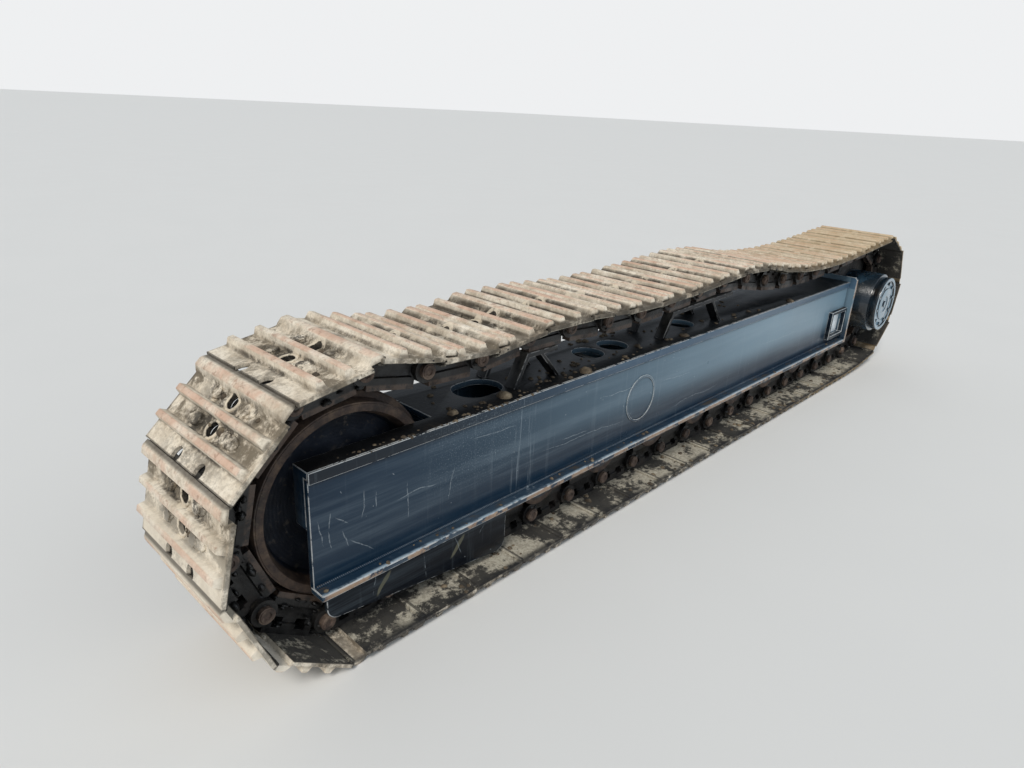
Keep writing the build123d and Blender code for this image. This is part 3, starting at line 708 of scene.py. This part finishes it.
def turn_end(piece, side, steps, wanted=lambda c: True):
    """In edit mode, shape one end by steps of (inset, move outwards, scale about the shaft)."""
    pick(piece, lambda c, n: n.y * side > 0.9 and wanted(c))
    for inset, move, scale in steps:
        if inset:
            bpy.ops.mesh.inset(thickness=inset * MM)
        if move:
            raise_faces((0, move * side, 0), (scale, 1, scale))


def roughen(piece, offset, seed, smooth=0.0):
    """Push every vertex a little at random, then shade the piece smooth."""
    open_edit(piece)
    bpy.ops.mesh.select_all(action="SELECT")
    bpy.ops.transform.vertex_random(offset=offset, seed=seed, normal=0.2)
    if smooth:
        bpy.ops.mesh.vertices_smooth(factor=smooth)
    close_edit()
    bpy.ops.object.shade_smooth()
    return piece


def merge(pieces, name):
    """Join pieces into the first one."""
    alone(pieces[0])
    for piece in pieces:
        piece.select_set(True)
    bpy.ops.object.join()
    pieces[0].name = name
    return pieces[0]


def cut_or_weld(piece, tool, way):
    """Apply a boolean with a tool piece, then drop the tool."""
    alone(piece)
    step = piece.modifiers.new("boolean", "BOOLEAN")
    step.operation = way
    step.solver = "EXACT"
    step.use_self = True
    step.object = tool
    bpy.ops.object.modifier_apply(modifier=step.name)
    bpy.data.objects.remove(tool)


def round_edges(piece, width, segments=2, angle=35, material=-1):
    """Round sharp edges, then shade smooth between them. The rounded strips take the numbered material."""
    alone(piece)
    step = piece.modifiers.new("bevel", "BEVEL")
    step.width = width * MM
    step.segments = segments
    step.limit_method = "ANGLE"
    step.angle_limit = radians(angle)
    step.use_clamp_overlap = True
    step.material = material
    bpy.ops.object.modifier_apply(modifier=step.name)
    bpy.ops.object.shade_smooth_by_angle(angle=radians(angle))


def dress(piece, material, slot, *nodes):
    """Give a finished piece its material and its place in the frame."""
    if material:
        piece.data.materials.clear()
        piece.data.materials.append(material)
    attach(piece, BODY)
    if nodes:
        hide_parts(*nodes)
    return piece


def copy_of(piece, matrix, name):
    """A copy with its own mesh, its place in the mesh."""
    twin = new_object(name, piece.data.copy())
    twin.data.transform(matrix)
    return twin


def lay_chain(piece, name, matrices):
    """Copies of a piece on the given links, joined; the pattern piece is dropped."""
    copies = [copy_of(piece, m, f"{name}_{k}") for k, m in enumerate(matrices)]
    bpy.data.objects.remove(piece)
    return merge(copies, name)


def mark_place(piece, name, read=tuple):
    """Store a value of each vertex's own place, before the piece is set in the unit."""
    layer = piece.data.attributes.new(name, "FLOAT_VECTOR", "POINT")
    for vertex, item in zip(piece.data.vertices, layer.data):
        item.vector = read(vertex.co)


def mark_wheel(piece, x, z):
    """Store each vertex's distance from the shaft."""
    mark_place(piece, "wheel_place", lambda co: (hypot(co.x - x, co.z - z), co.y, 0))


def box_of(node):
    """The low corner, high corner and middle of a node, in millimetres."""
    low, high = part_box(node)
    return low / MM, high / MM, (low + high) / 2 / MM


def softened(node, width, material, edge, slot):
    """A merged copy of a node with its edges rounded and worn."""
    piece = new_object(f"{node}_finished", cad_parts[node].data.copy())
    piece.data.materials.clear()
    piece.data.materials.append(material)
    piece.data.materials.append(edge)
    for face in piece.data.polygons:
        face.material_index = 0
    alone(piece)
    bpy.ops.mesh.customdata_custom_splitnormals_clear()
    open_edit(piece)
    bpy.ops.mesh.select_all(action="SELECT")
    bpy.ops.mesh.remove_doubles(threshold=0.00002)
    bpy.ops.mesh.dissolve_limited(angle_limit=radians(0.5))
    close_edit()
    round_edges(piece, width, material=1)
    return dress(piece, None, slot, node)


# The chain's pins and links, read from the frame's own pins
PIN_SPAN = 45


def pin_middles():
    """The middle (x, z) of each pin in mm, found by grouping the faces that lie close together."""
    groups = []
    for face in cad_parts["track_pins"].data.polygons:
        x, z = face.center.x / MM, face.center.z / MM
        for group in groups:
            if dist(group[0], (x, z)) < PIN_SPAN:
                group.append((x, z))
                break
        else:
            groups.append([(x, z)])
    return [tuple((min(side) + max(side)) / 2 for side in zip(*group)) for group in groups]


def loop_of_pins():
    """Pins in the order of the shoes' travel: forward on the ground, back over the top."""
    rest = sorted(pin_middles(), key=lambda p: p[1])
    start = min(rest[:12], key=lambda p: abs(p[0]))
    rest.remove(start)
    loop = [start, min((p for p in rest if p[0] > start[0]), key=lambda p: dist(p, start))]
    rest.remove(loop[-1])
    while rest:
        loop.append(min(rest, key=lambda p: dist(p, loop[-1])))
        rest.remove(loop[-1])
    return loop


def link_frame(start, end):
    """A link's own frame: u along the travel, y to the outer side, n outwards."""
    (x0, z0), (x1, z1) = start, end
    a = atan2(z1 - z0, x1 - x0)
    return Matrix((
        (cos(a), 0, sin(a), (x0 + x1) / 2 * MM),
        (0, -1, 0, 0),
        (sin(a), 0, -cos(a), (z0 + z1) / 2 * MM),
        (0, 0, 0, 1),
    ))


pins = loop_of_pins()
links = [link_frame(start, end) for start, end in zip(pins, pins[1:] + pins[:1])]

# Shoe. A step is its height, start, end and side inset
RIB_HALF = 10.5
HOOK_START = -30.0
HOOK_STEPS = (
    (49.2, -39.0, -32.5, 5.5), (49.9, -66.5, -34.5, 5.6), (53.5, -69.0, -37.0, 6.0),
    (60.6, -61.5, -44.0, 7.0), (CREST, -57.0, -46.2, 8.0),
)
NOTCH_RADIUS, NOTCH_STRETCH, NOTCH_PLACE = 12.5, 1.15, (LIP_END - 9, 40)
HOLE_RADIUS, COLLAR_RADIUS, COLLAR_THICK = 12.6, 15.6, 3.2
BOLT_RADIUS, BOLT_HEIGHT, BOLT_SIDE = 12.5, 7, 49
CAKE = 17.0
DIRT_LOW, DIRT_HIGH = 26, 36.4


def rib_steps(middle):
    return ((60.5, middle - 6.2, middle + 6.2, 7.5), (CREST, middle - 4.6, middle + 4.6, 8.5))


def raise_rib(piece, low, high, steps):
    """Raise the strip between low and high step by step."""
    level = FACE
    half = HALF_SHOE - SIDE_INSET

    def on_strip(c, n):
        return n.z > 0.6 and low < c.x < high and abs(c.z - level) < 0.5 and abs(c.y) < half

    for height, new_low, new_high, inset in steps:
        pick(piece, on_strip)
        middle = (new_low + new_high) / 2
        shift = (middle - (low + high) / 2, 0, height - level)
        scale = ((new_high - new_low) / (high - low), (HALF_SHOE - inset) / half, 1)
        raise_faces(shift, scale, (middle, 0, height))
        low, high, level, half = new_low, new_high, height, HALF_SHOE - inset


def cut_notches(shoe):
    """Two rounded notches in the lip."""
    for half in (-1, 1):
        notch = add_round("notch", NOTCH_RADIUS, -160, 160, 24)
        alone(notch)
        bpy.ops.transform.rotate(value=pi / 2, orient_axis="X", center_override=(0, 0, 0))
        bpy.ops.transform.resize(value=(NOTCH_STRETCH, 1, 1), center_override=(0, 0, 0))
        bpy.ops.transform.translate(value=(NOTCH_PLACE[0] * MM, half * NOTCH_PLACE[1] * MM, 0))
        cut_or_weld(shoe, settled("notch"), "DIFFERENCE")


def make_shoe():
    """One triple-grouser shoe with its hook, lip, notches, holes and bolts."""
    shoe = add_block("shoe", (HOOK_ROOT, -HALF_SHOE, SEAT), (LIP_END, HALF_SHOE, FACE))
    open_edit(shoe)
    slice_at(0, [HOOK_START, *(middle + side * RIB_HALF for middle in RIBS for side in (-1, 1))])
    slice_at(1, [SIDE_INSET - HALF_SHOE, HALF_SHOE - SIDE_INSET, -100, -50, 0, 50, 100])
    for middle in RIBS:
        raise_rib(shoe, middle - RIB_HALF, middle + RIB_HALF, rib_steps(middle))
    raise_rib(shoe, HOOK_ROOT, HOOK_START, HOOK_STEPS)
    close_edit()
    cut_notches(shoe)
    for valley in VALLEYS:
        cut_or_weld(shoe, add_round("drill", HOLE_RADIUS, 20, 80, 24, (valley, 0), True), "DIFFERENCE")
    round_edges(shoe, 1.1, 1, 28)

    # Packed dirt under the shoe, between the links and below the holes; shoe_clay paints it near black as
    # shade
    dirt = add_block("packed_dirt_painted_shade", (60, -54, DIRT_LOW), (100, 54, DIRT_HIGH))
    bar = add_block("lip_bar", (91, -146, 34.5), (104, 146, 38.6))
    round_edges(dirt, 5, 1)
    round_edges(bar, 1.5, 1)
    extras = [dirt, bar]
    for valley in VALLEYS:
        extras.append(make_collar(valley))
        extras.append(add_round("packed_dirt_painted_shade", 18, 28, DIRT_HIGH, 24, (valley, 0), True))
        round_edges(extras[-1], 3, 1)
        for side in (-BOLT_SIDE, BOLT_SIDE):
            extras.append(make_bolt(valley, side))
            extras.append(make_cake(valley + random.uniform(-3, 3), side + random.uniform(-10, 10)))
    shoe = merge([shoe, *extras], "shoe")
    mark_place(shoe, "shoe_place")
    return shoe


def make_collar(valley):
    """Worn clay ring round a hole."""
    centre = (valley * MM, 0, FACE * MM)
    clear()
    bpy.ops.mesh.primitive_torus_add(
        major_segments=24, minor_segments=6, major_radius=COLLAR_RADIUS * MM,
        minor_radius=COLLAR_THICK * MM, location=centre,
    )
    bpy.ops.transform.resize(value=(1, 1, 0.75), center_override=centre)
    return roughen(settled("collar"), 0.7 * MM, 3)


def make_bolt(valley, side):
    """Hex bolt head on the shoe's face, turned its own way."""
    clear()
    bpy.ops.mesh.primitive_cylinder_add(
        vertices=6, radius=BOLT_RADIUS * MM, depth=BOLT_HEIGHT * MM,
        location=(valley * MM, side * MM, (FACE + 3) * MM), rotation=(0, 0, side),
    )
    return chamfered(settled("bolt"), 1.6, 0.8, lambda c, n: n.z > 0.9)


def make_cake(u, y):
    """Cake of clay pressed into a valley."""
    centre = (u * MM, y * MM, FACE * MM)
    clear()
    bpy.ops.mesh.primitive_ico_sphere_add(subdivisions=3, radius=CAKE * MM, location=centre)
    flat = (random.uniform(0.6, 0.9), random.uniform(1.1, 1.9), 0.36)
    bpy.ops.transform.resize(value=flat, center_override=centre)
    return roughen(settled("cake"), CAKE * 0.14 * MM, random.randint(1, 999), 0.3)


dress(lay_chain(make_shoe(), "clay_shoes", links), CLAY, "shoe_steel", "track_shoes")

# Links: rail head, thinner web with nut windows, shoe seat, and an eye at each end
LINK_LOW, LINK_HIGH = (-53.5, 34, -38), (53.5, 56, SEAT)
WEB_LOW, WEB_HIGH = -20, 24
EYE_RADIUS, ARM_HALF = 25, 19
EYES = ((70, 44.5, 66), (-70, 29.5, 44))  # place along the link, from y, to y
WINDOWS = (-26, 26)


def make_link():
    """One link of the outer strand, on its positive local side."""
    body = add_block("link", LINK_LOW, LINK_HIGH)
    open_edit(body)
    slice_at(2, [WEB_LOW, WEB_HIGH])
    for side in (-1, 1):
        pick(body, lambda c, n: n.y * side > 0.9 and WEB_LOW < c.z < WEB_HIGH)
        bpy.ops.mesh.inset(thickness=5 * MM)
        raise_faces((0, -4.5 * side, 0), (0.94, 1, 0.86), (0, 45, 2))
    close_edit()
    for u, low_y, high_y in EYES:
        eye = add_round("eye", EYE_RADIUS, low_y, high_y, 28, (u, 0))
        arm_low = (min(u, u * 0.7), low_y + 1, -ARM_HALF)
        arm_high = (max(u, u * 0.7), min(high_y, 57) - 1, ARM_HALF)
        cut_or_weld(eye, add_block("arm", arm_low, arm_high), "UNION")
        cut_or_weld(body, eye, "UNION")
    for u in WINDOWS:
        cut_or_weld(body, add_block("window", (u - 11, 20, 9), (u + 11, 70, 27)), "DIFFERENCE")
    round_edges(body, 1.4, 1, 30)
    mark_place(body, "link_place")
    return body


def mirrored(piece, name):
    """The mirror image across the track, its faces turned outwards again."""
    twin = copy_of(piece, Matrix.Scale(-1, 4, (0, 1, 0)), name)
    open_edit(twin)
    bpy.ops.mesh.select_all(action="SELECT")
    bpy.ops.mesh.remove_doubles(threshold=0.00001)
    bpy.ops.mesh.normals_make_consistent(inside=False)
    close_edit()
    return twin


link = make_link()
twin = mirrored(link, "link_twin")
dress(lay_chain(link, "chain_links_outer", links), CHAIN, "chain_steel", "outer_links")
dress(lay_chain(twin, "chain_links_inner", links), CHAIN, "chain_steel", "inner_links")

PIN_RADIUS, PIN_HALF = 15.6, 75


def make_pin():
    """One pin through the eyes, with turned ends."""
    pin = add_round("pin", PIN_RADIUS, -PIN_HALF, PIN_HALF, 24)
    open_edit(pin)
    for side in (-1, 1):
        turn_end(pin, side, ((2.2, 1.6, 0.92), (4.5, -2.2, 0.8)))
    close_edit()
    bpy.ops.object.shade_smooth_by_angle(angle=radians(40))
    return pin


pin_places = [at(x, 0, z) for x, z in pins]
dress(lay_chain(make_pin(), "chain_pins", pin_places), PIN, "chain_steel", "track_pins")

# Wheels
IDLER_TREAD, IDLER_HALF = 186.0, 52
# Rim, deep disc, hub and cap of the idler, as steps of turn_end
IDLER_STEPS = ((3, 1.5, 1), (14, -8, 0.985), (0, -30, 0.93), (70, 10, 0.93), (0, 34, 0.97), (20, 4, 0.95))
ROLLER_RADIUS, ROLLER_HALF, ROLLER_FLANGE = 60, 74.5, 61
ROLLER_STEPS = ((10, -5, 0.96), (12, 4, 0.96))


def make_idler():
    """Idler: flanged tread, deep disc, hub with a bolted cap."""
    low, high, centre = box_of("idler")
    flange = (high.z - low.z) / 2
    wheel = add_round("idler_wheel", IDLER_TREAD, -IDLER_HALF, IDLER_HALF, 96)
    open_edit(wheel)
    slice_at(1, [-24, -21, 21, 24])
    pick(wheel, lambda c, n: abs(n.y) < 0.5 and abs(c.y) < 20)
    foot = (flange - 4) / IDLER_TREAD
    rim = flange / (flange - 4)
    raise_faces((0, 0, 0), (foot, 1, foot))
    raise_faces((0, 0, 0), (rim, 0.85, rim))
    for side in (-1, 1):
        turn_end(wheel, side, IDLER_STEPS, lambda c: abs(c.y) > 50)
    close_edit()
    round_edges(wheel, 1.5, 2, 30)
    lugs = [
        hex_head("lug", 6, *sorted((side * 10, side * 16)), place, side)
        for place in bolt_circle(6, 64) for side in (-1, 1)
    ]
    wheel = merge([wheel, *lugs], "idler_wheel")
    wheel.data.transform(at(centre.x, 0, centre.z))
    mark_wheel(wheel, centre.x * MM, centre.z * MM)
    return wheel


def make_roller():
    """Bottom roller with its outer flanges and sealed ends."""
    roller = add_round("roller", ROLLER_RADIUS, -ROLLER_HALF, ROLLER_HALF, 48)
    open_edit(roller)
    slice_at(1, [-ROLLER_FLANGE, ROLLER_FLANGE])
    pick(roller, lambda c, n: abs(n.y) < 0.5 and abs(c.y) > ROLLER_FLANGE)
    raise_faces((0, 0, 0), (1.18, 1, 1.18))
    raise_faces((0, 0, 0), (73 / 70.8, 0.985, 73 / 70.8))
    for side in (-1, 1):
        turn_end(roller, side, ROLLER_STEPS, lambda c: hypot(c.x, c.z) < 10)
    close_edit()
    round_edges(roller, 1.5, 2, 30)
    mark_wheel(roller, 0, 0)
    return roller


dress(make_idler(), wheel_rust("idler_rust", 0.158), "wheel_steel", "idler")
roller = make_roller()
ROLLER_RUST = wheel_rust("roller_rust", 0.055)
for k in range(1, 10):
    spot = box_of(f"roller_{k}")[2]
    twin = copy_of(roller, at(spot.x, 0, spot.z), f"bottom_roller_{k}")
    dress(twin, ROLLER_RUST, "wheel_steel", f"roller_{k}")
bpy.data.objects.remove(roller)

# Plates and bars: rounded copies of the frame's solids. A coat is a finish, its worn edge and a slot
BEAM = (BLUE, BLUE_EDGE, "frame_paint")
GUARD = (NIGHT, NIGHT_EDGE, "frame_paint")
GREASY = (BLACK, BLACK_EDGE, "black_steel")
SADDLE = (BLACK, BLACK_EDGE, "frame_paint")
SHAFT = (BLACK, BLACK_EDGE, "wheel_steel")
DRIVE = (WET, WET, "drive_paint")
for node, width, coat in (
    ("outer_side_plate", 1.4, BEAM), ("inner_side_plate", 1.4, BEAM), ("top_plate", 1.5, BEAM),
    ("outer_bottom_flange", 2.0, BEAM), ("inner_bottom_flange", 2.0, BEAM), ("outer_top_strip", 1.3, BEAM),
    ("inner_top_strip", 1.3, BEAM), ("end_plate", 1.6, BEAM), ("outer_guard", 1.8, GUARD),
    # The plate frame takes the darker guard paint, as painted shade
    ("inner_guard", 1.8, GUARD), ("plate_frame", 1.6, (NIGHT, BLUE_EDGE, "frame_paint")),
    ("blank_plate", 0.5, (WHITE, WHITE, "blank_plate")), ("plug_bead", 1.0, BEAM),
    ("front_skid", 1.6, GREASY), ("middle_skid", 1.6, GREASY), ("tension_fork", 2.0, GREASY),
    ("recoil_cylinder", 2.0, GREASY), ("recoil_stop", 1.5, GREASY), ("roller_saddles", 1.5, SADDLE),
    ("roller_shafts", 1.0, SADDLE), ("idler_shaft", 1.0, SHAFT), ("outer_idler_block", 2.0, SHAFT),
    ("inner_idler_block", 2.0, SHAFT), ("front_bracket", 2.0, BEAM), ("rear_bracket", 2.0, BEAM),
    ("drive_carrier", 1.5, DRIVE), ("drive_motor", 2.0, DRIVE), ("drive_hub", 2.0, DRIVE),
    ("sprocket", 1.5, (CHAIN, PIN, "chain_steel")),
):
    softened(node, width, *coat)

# Drive. The cover's rim, sunk ring and raised middle are steps of turn_end
COVER_STEPS = ((4, 0, 1), (9, -6, 0.985), (26, 0, 1), (3, 4, 0.985), (30, 0, 1), (2, -3, 0.98))


def make_cover():
    """Drive cover: rim, sunk face, bolts in the sunk ring and a plug in the middle."""
    low, high, spot = box_of("drive_cover")
    radius = (high.x - low.x) / 2
    cover = add_round("drive_cover_turned", radius, low.y, high.y, 72)
    open_edit(cover)
    turn_end(cover, -1, COVER_STEPS, lambda c: hypot(c.x, c.z) < 3)
    close_edit()
    round_edges(cover, 1.5, 2, 30)
    ring = bolt_circle(10, radius - 25, 0.2)
    bolts = [hex_head("cover_bolt", 7, low.y + 0.6, low.y + 8, place, -1) for place in ring]
    plug = hex_head("cover_plug", 13, low.y + 1, low.y + 9, side=-1)
    cover = merge([cover, *bolts, plug], "drive_cover_turned")
    cover.data.transform(at(spot.x, 0, spot.z))
    return cover


def make_hub_bolts():
    """Ring of bolts on the drive's flange."""
    high, spot = box_of("drive_hub")[1:]
    ring = bolt_circle(16, 133, 0.0, (spot.x, spot.z))
    heads = [hex_head("hub_bolt", 10, high.y - 1, high.y + 8, place) for place in ring]
    return merge(heads, "drive_hub_bolts")


dress(make_cover(), WET, "drive_paint", "drive_cover")
dress(make_hub_bolts(), PIN, "drive_paint")


# Welds
def weld(name, start, end, radius):
    """A bead of overlapping ripples between two points in millimetres."""
    step = radius * 0.9
    run = Vector(end) - Vector(start)
    clear()
    bpy.ops.mesh.primitive_cone_add(
        vertices=9, radius1=radius * MM, radius2=radius * 0.7 * MM, depth=step * 1.4 * MM,
        rotation=(0, pi / 2, 0),
    )
    bead = settled(name)
    row = bead.modifiers.new("row", "ARRAY")
    row.use_relative_offset = False
    row.use_constant_offset = True
    row.constant_offset_displace = (step * MM, 0, 0)
    row.count = int(run.length / step)
    bpy.ops.object.modifier_apply(modifier=row.name)
    turn = run.to_track_quat("X", "Z").to_matrix().to_4x4()
    bead.data.transform(at(*start) @ turn)
    bpy.ops.object.shade_smooth()
    return bead


def beam_welds():
    """Beads along both flanges and strips, up the end plate and up the brackets."""
    low, high = box_of("outer_side_plate")[:2]
    front, rear, end = low.x + 8, high.x - 6, high.x - 1
    beads = []
    for side in (-1, 1):
        beads.append(weld("flange_weld", (front, 100 * side, 171), (rear, 100 * side, 171), 4.5))
        beads.append(weld("strip_weld", (front, 100.5 * side, 376), (rear, 100.5 * side, 376), 2.5))
        beads.append(weld("end_weld", (end, 100 * side, 176), (end, 100 * side, 380), 4.5))
    for bracket in ("front_bracket", "rear_bracket"):
        low, high = box_of(bracket)[:2]
        for x in (low.x, high.x):
            beads.append(weld("bracket_weld", (x, 101, low.z + 8), (x, 101, high.z - 8), 4.5))
    return merge(beads, "beam_welds")


dress(beam_welds(), BLUE, "frame_paint")


# Loose clay and grease
def clod_shape():
    """One loose lump of unit size."""
    clear()
    bpy.ops.mesh.primitive_ico_sphere_add(subdivisions=2, radius=1)
    stretch = (random.uniform(0.7, 1.3), random.uniform(0.7, 1.3), random.uniform(0.4, 0.75))
    bpy.ops.transform.resize(value=stretch, center_override=(0, 0, 0))
    return roughen(settled("clod_shape"), 0.22, random.randint(1, 999))


CLODS = [clod_shape() for k in range(9)]


def clod(size, place):
    """A copy of a loose lump, turned at random."""
    turn = Matrix.Rotation(random.uniform(0, 2 * pi), 4, "Z")
    return copy_of(random.choice(CLODS), place @ turn @ Matrix.Scale(size * MM, 4), "clod")


def scatter(count, x_range, y_range, z, sizes, keep=lambda x, y: True):
    """Lumps at random places on a level face."""
    made = []
    while len(made) < count:
        x, y = random.uniform(*x_range), random.uniform(*y_range)
        if keep(x, y):
            made.append(clod(random.uniform(*sizes), at(x, y, z)))
    return made


# Holes as (x, reach) and single lumps as (x, y, size), all on the top plate
TOP_HOLES = ((-880.7, 75), (-494.7, 55), (-391.7, 55), (-58.7, 55))
BIG_LUMPS = ((-1012, -70, 13), (-871, -72, 17), (-613, -88, 15), (-164, -78, 14), (498, -90, 13))


def off_holes(x, y):
    return all(hypot(x - hole, y) > reach for hole, reach in TOP_HOLES)


def make_lumps():
    """Clay on the top plate, the ledge, the lower shoes' inner side and the shoes' faces."""
    lumps = scatter(60, (-1040, 300), (-84, 84), 398, (3, 9), off_holes)
    lumps += scatter(40, (-980, -350), (-90, -20), 398, (2.5, 6), off_holes)
    lumps += scatter(34, (-1340, 1000), (-124, -104), 170, (2, 5))
    lumps += scatter(90, (-1080, 1080), (-144, -62), 24.5, (2.5, 8))
    lumps += [clod(size, at(x, y, 399)) for x, y, size in BIG_LUMPS]
    for link in links:
        for k in range(4):
            u = random.choice(VALLEYS) + random.uniform(-5, 5)
            y = random.triangular(-135, 135, 20)
            lumps.append(clod(random.uniform(3, 7.5), at(u, y, FACE, link)))
    lumps += scatter(70, (-1290, -760), (-103, -84), 397, (1.5, 5))
    return merge(lumps, "loose_clay_lumps")


def make_grease():
    """Greasy lumps at the pin ends, under the top shoes' near edges and on the links at the idler."""
    grease = []
    for x, z in pins:
        for side in (-1, 1):
            for k in range(3):
                a = random.uniform(0, 2 * pi)
                reach = random.uniform(15, 22)
                spot = (x + reach * cos(a), random.uniform(62, 67) * side, z + reach * sin(a))
                grease.append(clod(random.uniform(4, 8), at(*spot)))
    for link in links:
        if link.translation.z > 0.45:
            for k in range(4):
                spot = (random.uniform(-60, 95), random.uniform(140, 147), random.uniform(37, 44))
                grease.append(clod(random.uniform(3, 6.5), at(*spot, link)))
        if link.translation.x < -1.15:
            for k in range(14):
                spot = (random.uniform(-62, 62), random.uniform(53, 59), random.uniform(-30, 34))
                grease.append(clod(random.uniform(4, 10), at(*spot, link)))
    grease = merge(grease, "pin_grease")
    mark_place(grease, "link_place", lambda co: (0, 0, 0))
    return grease


dress(make_lumps(), CRUMBS, "shoe_steel")
dress(make_grease(), CHAIN, "chain_steel")
for shape in CLODS:
    bpy.data.objects.remove(shape)

# Floor, just below the crests so that they don't share its plane
clear()
bpy.ops.mesh.primitive_plane_add(size=300, location=(0, 0, -0.0005))
floor = bpy.context.object
floor.name = "studio_floor"
floor.data.materials.append(floor_grey())
